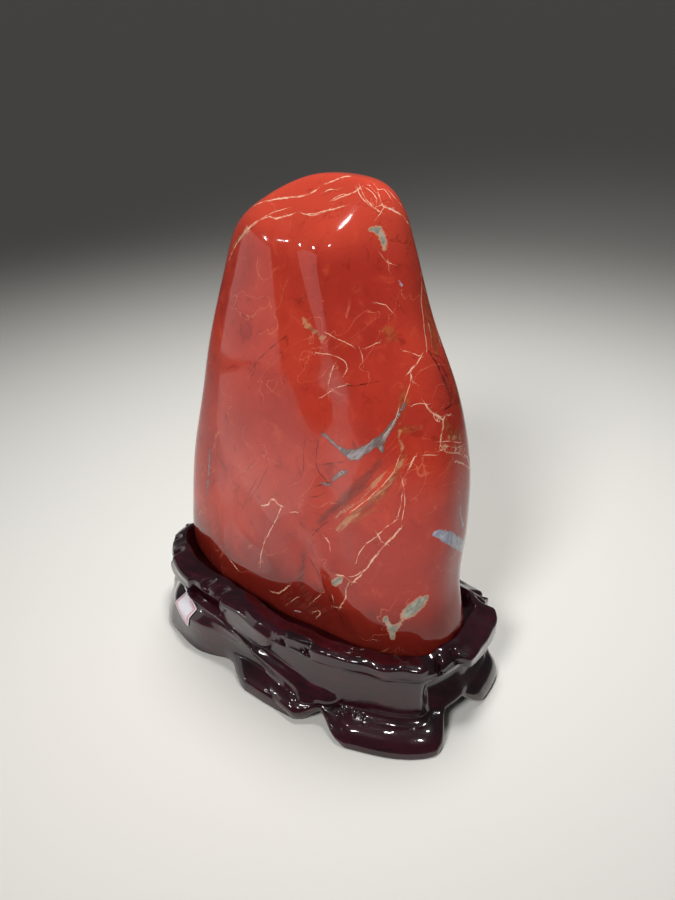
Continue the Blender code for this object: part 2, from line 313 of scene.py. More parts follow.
def footed(place, station, out, height):
    """The skirt drawn down to the feet, which bulge out beyond it."""
    lowered = ramp(station, SOLE_ROW - 1, SOLE_ROW) * (1 - ramp(height, *SKIRT_DRAWN_DOWN))
    pushed = ramp(station, SOLE_ROW - 2, SOLE_ROW + 1)
    soles = [
        ramp(apart(place, start), -lead_in, 0) * (1 - ramp(apart(place, end), 0, lead_out))
        for start, end, lead_in, lead_out, *_ in FEET
    ]
    height = height - np.max(soles, axis=0) * lowered * np.minimum(ARCH_HEIGHT + 1, height)
    low, high = TOE_HEIGHTS
    toe = np.sqrt(1 - np.clip((height - low) / (high - low), 0, 1) ** 2)
    for sole, rounded, (*_, far, top) in zip(soles, ROUND_TOES, FEET):
        shoulder = 1 - ramp(height, *(FOOT_SHOULDER + top))
        out = out + sole * far * pushed * (shoulder + rounded * (toe - shoulder))
    return out, height


def scalloped(place, out, height, outside, upright):
    """A groove round the stand, and petals cut over it, each deepest in the middle of its crisp lower edge."""
    out = out - GROOVE_DEPTH * bump(height, GROOVE_HEIGHT, GROOVE_WIDTH) * outside * (1 - upright)
    for middle, half, swell, drop in LOBES:
        across = apart(place, middle) / (PETAL_SPREAD * half)
        low = LOBE_FOOT - drop * (1 - across ** 4)
        here = 1 - ramp(np.abs(across), *PETAL_SIDES)
        face = here * ramp(height, low - PETAL_EDGE, low + PETAL_EDGE) * (1 - ramp(height, *LOBE_TOP))
        out = out + (swell - out) * (face * outside)
    return out


def gouged(place, station, out, height):
    """The rim as the knife left it: its edges waver, as work done by eye does, and gouges cross it."""
    turn = place * 2 * math.pi / len(RIM)
    lift, push = (
        sum(size * np.sin(count * turn + count * late) for count, size in RIM_WAVER) for late in (1, 3)
    )
    on_rim = ramp(station, LIP_ROW, EDGE_ROW + 1) * (1 - ramp(station, RIDGE_ROW, RIDGE_ROW + 1.5))
    out = out + push * WAVER_OUT * on_rim
    height = height + lift * on_rim
    across = (station - GOUGE_ROW) * ROW_STEP
    for middle in GOUGES:
        round_rim = apart(place, middle) * RIM_STEP
        cut = (round_rim - GOUGE_BEND * across * across) / GOUGE_HALF_WIDTH
        cut = GOUGE_DEPTH * np.exp(-cut * cut - (across / GOUGE_HALF_LENGTH) ** 4)
        out = out + GOUGE_AIM[0] * cut
        height = height + GOUGE_AIM[1] * cut
    return out, height


def stand_surface(unit):
    """Points of a unit sphere moved onto the stand.

    Longitude runs round the rim, counted in rim points, and latitude along the profile, counted in rows.
    """
    place = (np.arctan2(unit[:, 1], unit[:, 0]) / (2 * math.pi) + 0.5) % 1.0 * len(RIM)
    along = np.arcsin(np.clip(unit[:, 2], -1, 1)) / math.pi + 0.5
    rim = spline(RIM, place, closed=True)
    # Outwards is square to the line from just behind on the rim to just ahead
    behind, ahead = (spline(RIM, place + step, closed=True) for step in (-0.05, 0.05))
    ahead -= behind
    ahead /= np.linalg.norm(ahead, axis=1)[:, None]
    outward = np.stack([ahead[:, 1], -ahead[:, 0]], 1)
    station = along * (len(STAND_PROFILE) - 1)
    out, height, inward = spline(STAND_PROFILE, station).T
    # The knife left the rim crisp: straight facets with an edge between them
    rows = np.arange(len(STAND_PROFILE))
    straight = [np.interp(station, rows, row) for row in np.array(STAND_PROFILE).T]
    crisp = ramp(station, LIP_ROW - 1, LIP_ROW) * (1 - ramp(station, RIDGE_ROW + 0.5, RIDGE_ROW + 1.5))
    out += crisp * (straight[0] - out)
    height += crisp * (straight[1] - height)

    outside = ramp(station, SOLE_ROW, SOLE_ROW + 1) * (1 - ramp(station, BAND_ROW, BAND_ROW + 2))
    out, height = folded(place, station, out, height, outside)
    # Along the front the wall under the rim is nearly upright, as far as the corner above the third foot
    upright = ramp(place, *WALL_STARTS) * (1 - ramp(place, *WALL_ENDS)) * outside * ramp(height, *WALL_FOOT)
    out = out + np.maximum(WALL_OUT - out, 0.0) * upright
    out, height = footed(place, station, out, height)
    out = scalloped(place, out, height, outside, upright)
    out, height = gouged(place, station, out, height)

    line = rim + outward * out[:, None]
    line = line + (np.array(SEAT_MIDDLE) - line) * inward[:, None]
    return np.stack([line[:, 0], line[:, 1], height], 1)


def in_frame(points):
    """Modelling millimetres to the part's own metres."""
    return (points - (*OUTLINE_MIDDLE, 0.0)) * MM


def cube_sphere(shape, cells):
    """A cube whose faces are cut into even cells, to be blown up into a sphere with no poles."""
    bmesh.ops.create_cube(shape, size=2.0)
    bmesh.ops.subdivide_edges(shape, edges=shape.edges[:], cuts=cells - 1, use_grid_fill=True)
    for vertex in shape.verts:
        vertex.co = [math.tan(side * math.pi / 4) for side in vertex.co]


def ringed_sphere(shape, cells):
    """A globe with two rings to each row of the profile, then each cell cut in three both ways."""
    rings = (len(STAND_PROFILE) - 1) * 2
    bmesh.ops.create_uvsphere(shape, u_segments=cells, v_segments=rings, radius=1.0)
    bmesh.ops.subdivide_edges(shape, edges=shape.edges[:], cuts=2, use_grid_fill=True)


def shaped(name, mesh_maker, cells, surface, box):
    """A new mesh object whose unit sphere has been moved onto a surface, kept inside its solid's box."""
    shape = bmesh.new()
    mesh_maker(shape, cells)
    mesh = bpy.data.meshes.new(name)
    shape.to_mesh(mesh)
    shape.free()
    unit = np.empty(len(mesh.vertices) * 3)
    mesh.vertices.foreach_get("co", unit)
    unit = unit.reshape(-1, 3)
    unit /= np.linalg.norm(unit, axis=1)[:, None]
    points = np.clip(in_frame(surface(unit)), box[0], box[1])
    mesh.vertices.foreach_set("co", points.ravel())
    mesh.update()
    mesh.shade_smooth()
    made = bpy.data.objects.new(name, mesh)
    bpy.context.scene.collection.objects.link(made)
    return made


def applied(thing):
    """Makes an object's modifiers part of its mesh."""
    graph = bpy.context.evaluated_depsgraph_get()
    mesh = bpy.data.meshes.new_from_object(thing.evaluated_get(graph), depsgraph=graph)
    thing.modifiers.clear()
    thing.data = mesh


# The camera, at the photograph's angle

PHOTO = (675, 900)
FOCAL = 1000.0  # in the photograph's pixels
CAMERA_AT = Vector((0.3718, -0.4981, 0.4651))
CAMERA_PITCH = 26.0  # how far down it looks, in degrees
CAMERA_AZIMUTH = 35.0  # how far to the object's right it stands, in degrees


def place_camera():
    lens = bpy.data.cameras.new("photograph_view")
    lens.sensor_width = 36.0
    lens.lens = FOCAL / PHOTO[1] * lens.sensor_width
    lens.clip_start = 0.01
    lens.clip_end = 100.0
    made = bpy.data.objects.new("photograph_view", lens)
    made.location = CAMERA_AT
    made.rotation_euler = (math.radians(90 - CAMERA_PITCH), 0.0, math.radians(CAMERA_AZIMUTH))
    bpy.context.scene.collection.objects.link(made)
    bpy.context.scene.camera = made
    bpy.context.view_layer.update()
    return made


# Marks on the stone, read from the photograph as strokes of pixels

STONE_SEEN_AT = (332.0, 410.0)  # the middle of the stone, in pixels
# How far a pixel off the stone's edge may be brought in, and by what step, as shares of its way to the middle
BROUGHT_IN = 0.24
BRING_IN_STEP = 0.02
# Thin lines are written into three channels of one attribute, so that close ones don't run together
LINES_APART = 7.0  # how far lines of one channel keep from each other where they can, in mm
LINE_MARGIN = 8.0  # how far from a line its offset is written, in mm
LINE_FADE = 3.0  # a line fades over this width beside it, from half as far away, in mm
NO_LINE = 9.0  # the offset where no line is near, in half widths
NO_PATCH = 30.0  # the distance where no broad mark is near, in mm
FAR = 99.0  # further than any line, in mm
# Which way the front faces, and the cosines between which its marks give way to the stone's own veining
FRONT_FACING = (math.sin(0.45), -math.cos(0.45), 0.15)
FRONT_EDGE = (-0.35, 0.15)

# Thin cream and white quartz veins: half width in mm, then points
CREAM_VEINS = (
    (0.46, (254, 206), (262, 202), (272, 200), (283, 198), (298, 197), (309, 194), (316, 190)),
    (0.41, (325, 184), (331, 182), (338, 179), (343, 177), (351, 176)),
    (0.31, (326, 191), (331, 189), (337, 190), (339, 189)),
    (0.26, (334, 200), (341, 197), (347, 195), (355, 192), (360, 188)),
    (0.36, (230, 258), (233, 250), (239, 240), (246, 231), (254, 223), (262, 219)),
    (0.46, (262, 219), (270, 216), (275, 219), (283, 217), (292, 214)),
    (0.36, (308, 214), (316, 214), (324, 211), (334, 209), (344, 206)),
    (0.26, (358, 190), (361, 197), (367, 203), (372, 207)),
    (0.36, (367, 200), (370, 204), (374, 208), (379, 211)),
    (0.26, (379, 195), (381, 202), (384, 207), (392, 210)),
    (0.36, (387, 207), (396, 212), (403, 216), (408, 223)),
    (0.20, (388, 190), (394, 197), (401, 205)),
    (0.26, (382, 256), (387, 262), (392, 264)),
    (0.26, (388, 261), (389, 268)),
    (0.20, (378, 303), (386, 305), (392, 312)),
    (0.20, (327, 333), (337, 339), (345, 342), (352, 346)),
    (0.26, (359, 348), (362, 354), (363, 362)),
    (0.20, (366, 348), (373, 345), (377, 343)),
    (0.26, (317, 353), (328, 354), (338, 357), (345, 361), (348, 367), (345, 374)),
    (0.26, (334, 365), (331, 373), (329, 382)),
    (0.20, (322, 397), (328, 393), (335, 388), (346, 385)),
    (0.41, (421, 357), (417, 363), (413, 367), (409, 373)),
    (0.20, (405, 351), (412, 353), (419, 356)),
    (0.26, (411, 374), (412, 381), (416, 384)),
    (0.46, (425, 404), (429, 410), (433, 414), (438, 416)),
    (0.41, (438, 416), (443, 420), (446, 415), (450, 415)),
    (0.36, (443, 420), (443, 428), (441, 436), (440, 446)),
    (0.26, (433, 414), (436, 421), (441, 422)),
    (0.26, (440, 442), (450, 441), (460, 443)),
    (0.31, (441, 450), (449, 453), (458, 453), (464, 457)),
    (0.26, (441, 446), (445, 451)),
    (0.51, (456, 461), (463, 464), (470, 469)),
    (0.41, (462, 452), (467, 457), (469, 464)),
    (0.26, (427, 455), (433, 455)),
    (0.41, (414, 458), (411, 464), (409, 468)),
    (0.46, (263, 506), (268, 505), (270, 500), (274, 499), (279, 505), (281, 506)),
    (0.36, (281, 508), (276, 520), (270, 531), (264, 543), (261, 554), (260, 565)),
    (0.36, (292, 512), (297, 512)),
    (0.46, (326, 538), (329, 542), (330, 548)),
    (0.51, (400, 529), (393, 537), (386, 544), (378, 553), (371, 562)),
    (0.41, (371, 562), (366, 569), (360, 576), (353, 582)),
    (0.46, (353, 582), (348, 580), (344, 576), (337, 575)),
    (0.41, (349, 582), (346, 589), (346, 598), (342, 604), (340, 608)),
    (0.31, (340, 608), (334, 607)),
    (0.36, (386, 544), (381, 541), (378, 535)),
    (0.26, (374, 538), (366, 544), (359, 553), (356, 562)),
    (0.26, (378, 535), (386, 527), (395, 521)),
    (0.26, (351, 577), (357, 575), (361, 572)),
    (0.46, (273, 592), (279, 593), (284, 590), (288, 586)),
    (0.41, (231, 561), (234, 565), (237, 569)),
    (0.26, (332, 595), (334, 602)),
    (0.26, (314, 612), (319, 610), (321, 614), (317, 617)),
    (0.20, (288, 604), (293, 600), (298, 597)),
    (0.20, (311, 603), (318, 597), (323, 592)),
    (0.20, (402, 520), (404, 510), (405, 500), (404, 488), (402, 480)),
    (0.20, (398, 516), (401, 505), (402, 495)),
    (0.24, (421, 272), (422, 286), (421, 300), (423, 315), (424, 327), (426, 340), (427, 350)),
    (0.22, (427, 288), (430, 305), (434, 320), (440, 332), (445, 341)),
    (0.19, (428, 322), (431, 334), (432, 346)),
    (0.19, (411, 374), (410, 384), (407, 394), (404, 402)),
    (0.19, (399, 408), (396, 418), (390, 428), (384, 436)),
    (0.19, (413, 405), (420, 403), (426, 404)),
    (0.19, (441, 446), (449, 446), (456, 448), (462, 446)),
    (0.24, (400, 455), (394, 472), (382, 486), (368, 499), (352, 511)),
    (0.20, (360, 187), (364, 196), (368, 202), (374, 208), (381, 205)),
    (0.20, (366, 188), (372, 192), (377, 199), (376, 207)),
    (0.18, (374, 184), (378, 190), (384, 189), (390, 197)),
    (0.18, (376, 219), (380, 214), (384, 207)),
    (0.20, (333, 199), (338, 196), (343, 194), (348, 195), (354, 192)),
    (0.20, (229, 261), (234, 249), (244, 233), (254, 225), (262, 218), (274, 212), (288, 208)),
    (0.20, (302, 213), (312, 216), (320, 214), (330, 209)),
)
# Fine dark cracks filled with iron: half width in mm, then points
DARK_CRACKS = (
    (0.55, (430, 353), (436, 362), (441, 373), (446, 386), (450, 397), (451, 405), (446, 409)),
    (0.40, (439, 362), (446, 374), (451, 387), (453, 398)),
    (0.32, (433, 354), (440, 357), (446, 364)),
    (0.40, (424, 327), (426, 335)),
    (0.48, (307, 554), (312, 563), (318, 573), (324, 585), (330, 598)),
    (0.64, (330, 598), (334, 607), (340, 616), (344, 625)),
    (0.32, (346, 385), (355, 386), (364, 384), (376, 382)),
    (0.32, (251, 371), (260, 358), (272, 347), (286, 336)),
    (0.24, (250, 362), (256, 369), (252, 376)),
    (0.24, (262, 437), (263, 450), (267, 462)),
    (0.24, (256, 480), (249, 494), (243, 508)),
    (0.24, (264, 475), (258, 487), (250, 500)),
    (0.24, (305, 440), (303, 452), (304, 464), (303, 472)),
    (0.32, (318, 442), (316, 454), (316, 466), (320, 474), (326, 480)),
    (0.40, (318, 486), (324, 484), (332, 482)),
    (0.32, (313, 497), (319, 496), (324, 493)),
    (0.24, (247, 470), (254, 462)),
    (0.32, (322, 465), (333, 463), (343, 462)),
    (0.32, (312, 536), (318, 529), (327, 522)),
    (0.24, (268, 468), (264, 474)),
    (0.40, (288, 611), (296, 616), (305, 619)),
    (0.32, (309, 602), (314, 596), (320, 590)),
)
# Blue-grey chalcedony, and a painted reflection down the stone's left edge: points with a half width in mm
BLUE_GREY_VEINS_AND_EDGE_SHEEN = (
    ((322, 433, 0.8), (327, 437, 1.0), (332, 442, 1.0), (338, 447, 1.2), (345, 452, 1.8)),
    ((345, 452, 1.8), (350, 455, 3.4), (356, 455, 3.2), (362, 451, 2.2), (368, 448, 2.4)),
    ((368, 448, 2.4), (375, 442, 2.2), (382, 439, 2.2), (387, 433, 1.6), (392, 426, 1.4)),
    ((392, 426, 1.4), (396, 419, 0.9), (400, 412, 0.7), (405, 404, 0.5)),
    ((379, 444, 1.2), (381, 448, 1.6), (382, 451, 0.8)),
    ((346, 471, 1.2), (341, 473, 1.4), (336, 477, 1.2), (332, 481, 0.5)),
    ((330, 484, 0.8), (325, 484, 1.0), (320, 483, 0.6)),
    # Painted reflection along the stone's left edge, drawn as a blue-grey line
    ((210, 450, 0.4), (209, 465, 0.9), (208, 480, 0.9), (207, 495, 0.4)),
)
# Pale bluish and white patches of chalcedony
PALE_PATCHES = (
    ((436, 533, 2.4), (443, 535, 3.4), (450, 538, 4.0), (457, 543, 4.0), (463, 547, 3.8)),
    ((460, 506, 0.4), (461, 516, 1.0), (463, 526, 1.2)),
    ((400, 283, 0.8), (403, 286, 0.8)),
    ((390, 210, 0.6), (393, 208, 0.6)),
)
# Grey-green patches, with their cream borders
GREEN_PATCHES = (
    ((403, 617, 1.4), (408, 613, 3.0), (414, 608, 3.2), (420, 602, 2.8), (425, 599, 1.8)),
    ((385, 618, 0.6), (388, 624, 1.2), (392, 629, 2.2), (397, 627, 1.0), (401, 623, 0.6)),
    ((392, 629, 2.2), (392, 638, 0.8)),
    ((334, 583, 2.0), (340, 580, 1.8)),
    ((371, 229, 0.4), (378, 230, 1.5), (382, 236, 1.4), (384, 243, 0.9), (384, 248, 0.4)),
)
# Tan and brown seams
TAN_SEAMS = (
    ((404, 448, 0.3), (401, 458, 0.6), (398, 471, 0.8), (385, 489, 1.1), (366, 505, 1.5), (348, 519, 1.6),
     (337, 532, 0.7)),
    ((391, 462, 0.2), (378, 480, 0.5), (362, 498, 0.7), (344, 510, 0.6), (334, 520, 0.2)),
    ((398, 416, 0.2), (400, 426, 0.3), (399, 438, 0.4), (403, 448, 0.5)),
    ((303, 318, 0.4), (307, 325, 1.2), (314, 331, 1.9), (321, 337, 1.2), (327, 339, 0.4)),
    ((442, 438, 0.5), (452, 437, 0.7), (462, 438, 0.5)),
    ((443, 447, 0.4), (455, 446, 0.7), (465, 450, 0.4)),
    ((233, 246, 1.0), (240, 238, 1.4), (248, 230, 1.2)),
    ((435, 412, 0.5), (440, 418, 0.9)),
)
# Ochre zones, stained by iron along the seams
OCHRE_ZONES = (
    ((423, 280, 0.6), (425, 295, 1.4), (428, 310, 2.4), (431, 325, 3.6), (434, 340, 4.6), (436, 350, 3.0)),
    ((447, 352, 1.4), (453, 370, 1.8), (459, 392, 1.8), (463, 415, 1.8), (466, 434, 1.6)),
    ((402, 392, 1.6), (404, 402, 2.4), (400, 414, 1.8), (397, 424, 1.0)),
    ((386, 332, 2.0), (390, 334, 3.2), (394, 337, 1.8)),
    ((396, 429, 0.6), (405, 428, 2.0), (415, 429, 1.6), (421, 428, 0.6)),
    ((444, 420, 1.0), (450, 432, 2.6), (460, 434, 2.6)),
    ((404, 452, 1.0), (396, 472, 1.8), (386, 490, 2.2), (370, 506, 2.6), (352, 520, 2.4)),
)
# Dark brown bruised zones beside the seams
BROWN_ZONES = (
    ((379, 462, 1.0), (370, 473, 2.0), (362, 483, 3.0), (354, 492, 3.4), (344, 500, 3.4)),
    ((344, 500, 3.4), (336, 507, 2.8), (328, 514, 2.0), (320, 523, 1.4)),
    ((304, 552, 0.6), (303, 566, 1.8), (300, 580, 3.0), (304, 592, 3.6), (314, 604, 3.2), (328, 614, 1.4)),
    ((286, 597, 0.8), (297, 604, 2.2), (310, 610, 2.4)),
    ((441, 372, 0.4), (448, 388, 1.0), (451, 402, 0.6)),
)
# Bright orange-red seams: clean jasper between the bruised zones
BRIGHT_ZONES = (
    ((372, 498, 2.0), (360, 508, 3.0), (348, 518, 3.0)),
    ((402, 462, 1.5), (396, 468, 2.5), (388, 476, 2.5), (378, 488, 2.5)),
)


def marked_surface(stone):
    """A tree that finds where a ray meets the stone, and the stone's points in mm and its normals."""
    count = len(stone.data.vertices)
    points = np.empty(count * 3)
    normals = np.empty(count * 3, np.float32)
    stone.data.vertices.foreach_get("co", points)
    stone.data.vertex_normals.foreach_get("vector", normals)
    shape = bmesh.new()
    shape.from_mesh(stone.data)
    tree = BVHTree.FromBMesh(shape)
    shape.free()
    return tree, points.reshape(-1, 3) / MM, normals.reshape(-1, 3).astype(float)


def seen_on(tree, turn, u, v):
    """The point of the stone under a pixel; a pixel just off its edge is brought in towards its middle."""
    for share in 1.0 - np.arange(0.0, BROUGHT_IN, BRING_IN_STEP):
        across, down = (
            (middle + (pixel - middle) * share - side / 2) / FOCAL
            for pixel, middle, side in zip((u, v), STONE_SEEN_AT, PHOTO)
        )
        hit = tree.ray_cast(CAMERA_AT, (turn @ Vector((across, -down, -1.0))).normalized())
        if hit[0]:
            return np.array(hit[0]) / MM
    return None


def nearest_on_run(points, start, end):
    """How far each point is from a straight run, how far along the run, and the way there."""
    run = end - start
    share = np.clip((points - start) @ run / max(run @ run, 1e-9), 0.0, 1.0)
    offset = points - start - share[:, None] * run
    return np.linalg.norm(offset, axis=1), share, offset


def line_marks(points, normals, strokes):
    """Signed offsets from thin strokes, as multiples of their half width, kept apart in three channels.

    A signed offset crosses zero sharply between two vertices, so the lines can be thinner than the mesh.
    """
    offsets = np.full((len(points), 3), NO_LINE)
    reach = np.full((len(points), 3), FAR)
    taken = [[], [], []]
    for half, line in strokes:
        dense = np.concatenate([np.linspace(a, b, 6) for a, b in zip(line, line[1:])])
        room = []
        for channel in taken:
            others = [np.linalg.norm(dense[:, None] - other[None], axis=2).min() for other in channel]
            room.append(min(others, default=math.inf))
        channel = next((index for index in range(3) if room[index] > LINES_APART), int(np.argmax(room)))
        taken[channel].append(dense)
        low, high = line.min(0) - LINE_MARGIN, line.max(0) + LINE_MARGIN
        near = np.flatnonzero(((points > low) & (points < high)).all(1))
        best = np.full(len(near), FAR)
        side = np.ones(len(near))
        for start, end in zip(line, line[1:]):
            distance, _, offset = nearest_on_run(points[near], start, end)
            turned = np.sign((np.cross(end - start, normals[near]) * offset).sum(1))
            closer = distance < best
            best = np.where(closer, distance, best)
            side = np.where(closer, turned, side)
        closer = best < reach[near, channel]
        reach[near[closer], channel] = best[closer]
        offsets[near[closer], channel] = (best * side / half)[closer]
    return offsets, np.clip(1.5 - reach / LINE_FADE, 0.0, 1.0)


def patch_marks(points, strokes):
    """Distance in mm to the edge of broad marks, negative inside them."""
    edge = np.full(len(points), NO_PATCH)
    for line, halves in strokes:
        for start, end, first, last in zip(line, line[1:], halves, halves[1:]):
            distance, share, _ = nearest_on_run(points, start, end)
            edge = np.minimum(edge, distance - first - (last - first) * share)
    return edge


def attribute(mesh, name, kind, values):
    made = mesh.attributes.new(name, kind, "POINT")
    field = "vector" if kind == "FLOAT_VECTOR" else "value"
    made.data.foreach_set(field, np.ascontiguousarray(values, np.float32).ravel())


def mark_stone(stone, camera):
    """Writes the marks onto the stone's vertices, where its material reads them."""
    tree, points, normals = marked_surface(stone)
    turn = camera.matrix_world.to_3x3()

    def on_stone(line):
        found = [(seen_on(tree, turn, u, v), *rest) for u, v, *rest in line]
        return [item for item in found if item[0] is not None]

    def thin(strokes):
        made = []
        for half, *line in strokes:
            line = [item[0] for item in on_stone(line)]
            if len(line) > 1:
                made.append((half, np.array(line)))
        return made

    def broad(strokes):
        made = []
        for line in strokes:
            line = on_stone(line)
            if len(line) > 1:
                made.append((np.array([item[0] for item in line]), [item[1] for item in line]))
        return made

    for name, strokes in (("cream", CREAM_VEINS), ("crack", DARK_CRACKS)):
        offsets, reach = line_marks(points, normals, thin(strokes))
        attribute(stone.data, name + "_offset", "FLOAT_VECTOR", offsets)
        attribute(stone.data, name + "_reach", "FLOAT_VECTOR", reach)
    for name, strokes in (
        ("blue_grey_and_edge_sheen", BLUE_GREY_VEINS_AND_EDGE_SHEEN),
        ("pale", PALE_PATCHES),
        ("green", GREEN_PATCHES),
        ("tan", TAN_SEAMS),
        ("ochre", OCHRE_ZONES),
        ("brown", BROWN_ZONES),
        ("bright", BRIGHT_ZONES),
    ):
        attribute(stone.data, name + "_edge", "FLOAT", patch_marks(points, broad(strokes)))
    # 1 on the front, which carries the marks above, and 0 where only the stone's own veining shows
    attribute(stone.data, "front", "FLOAT", ramp(normals @ np.array(FRONT_FACING), *FRONT_EDGE))


# Materials


def linear(hex_colour):
    """An sRGB hex colour as linear RGBA."""
    parts = [int(hex_colour[index:index + 2], 16) / 255 for index in (1, 3, 5)]
    return (*(part / 12.92 if part <= 0.04045 else ((part + 0.055) / 1.055) ** 2.4 for part in parts), 1.0)


def per_mm(size):
    """Pattern scale whose features are this many millimetres across, on coordinates in metres."""
    return 1.0 / (size * MM)


def add(tree, kind, output, inputs, **settings):
    """Adds a node, sets its properties, fills or links its inputs, and hands back one of its outputs."""
    made = tree.nodes.new("ShaderNode" + kind)
    for name, value in settings.items():
        setattr(made, name, value)
    for name, value in inputs.items():
        if isinstance(value, bpy.types.NodeSocket):
            tree.links.new(value, made.inputs[name])
        else:
            made.inputs[name].default_value = value
    return made.outputs[output] if output is not None else made


def new_material(name):
    made = bpy.data.materials.new(name)
    made.use_nodes = True
    made.node_tree.nodes.clear()
    return made, made.node_tree


SOFT = {"interpolation_type": "SMOOTHSTEP"}
COLOUR = {"data_type": "RGBA"}

SHEAR = (0.0, math.radians(-47.0), 0.0)  # which way the stone was sheared, about its depth
# How each kind of mark is painted: how far it spreads past its edge and how soft that edge is, both in mm,
# how ragged the edge is, the mark's strength and its two mingled colours
MARK_LOOKS = (
    ("bright", 0.5, 2.0, 1.0, 0.70, "#D63A22", "#D24428"),
    ("ochre", 0.3, 1.5, 1.6, 0.66, "#A8552F", "#8A3422"),
    ("brown", 0.3, 1.6, 1.8, 0.74, "#83352A", "#5C241E"),
    ("tan", 0.0, 0.6, 1.2, 0.85, "#C08460", "#8A5238"),
    ("green", 1.0, 0.4, 0.9, 0.85, "#B98A6C", "#C79A7E"),
    ("green", 0.0, 0.4, 0.9, 1.00, "#807F72", "#A3A394"),
    # These two also paint the reflection along the stone's left edge
    ("blue_grey_and_edge_sheen", 0.6, 0.5, 0.8, 0.70, "#84463A", "#5E3A30"),
    ("blue_grey_and_edge_sheen", 0.0, 0.4, 0.7, 0.92, "#6E625E", "#A49CA0"),
    ("pale", 0.0, 0.5, 0.9, 0.95, "#8790A4", "#B4BAC6"),
)
# Veins the stone has all round, as contour lines of a stirred noise: feature size in mm, level,
# half thickness, where they show, strength on the back and on the front, and colour
WANDERING_VEINS = (
    (26.0, 0.500, 0.0060, (0.46, 0.58), 0.80, 0.45, "#DC7A5C"),
    (14.0, 0.560, 0.0070, (0.52, 0.42), 0.70, 0.45, "#76201A"),
    (38.0, 0.545, 0.0200, (0.40, 0.54), 0.85, 0.00, "#A8684A"),
    (38.0, 0.545, 0.0055, (0.44, 0.56), 0.90, 0.00, "#E2B79C"),
    (9.0, 0.480, 0.0110, (0.50, 0.62), 0.50, 0.35, "#8A2A1E"),
)


def tinted(tree, base, layers):
    """A base colour with others over it: where each pattern goes from start to end, up to a share of most."""
    for pattern, start, end, most, colour in layers:
        share = add(tree, "MapRange", 0, {
            "Value": pattern, "From Min": start, "From Max": end, "To Max": most,
        }, **SOFT)
        base = add(tree, "Mix", 2, {0: share, 6: base, 7: linear(colour)}, **COLOUR)
    return base


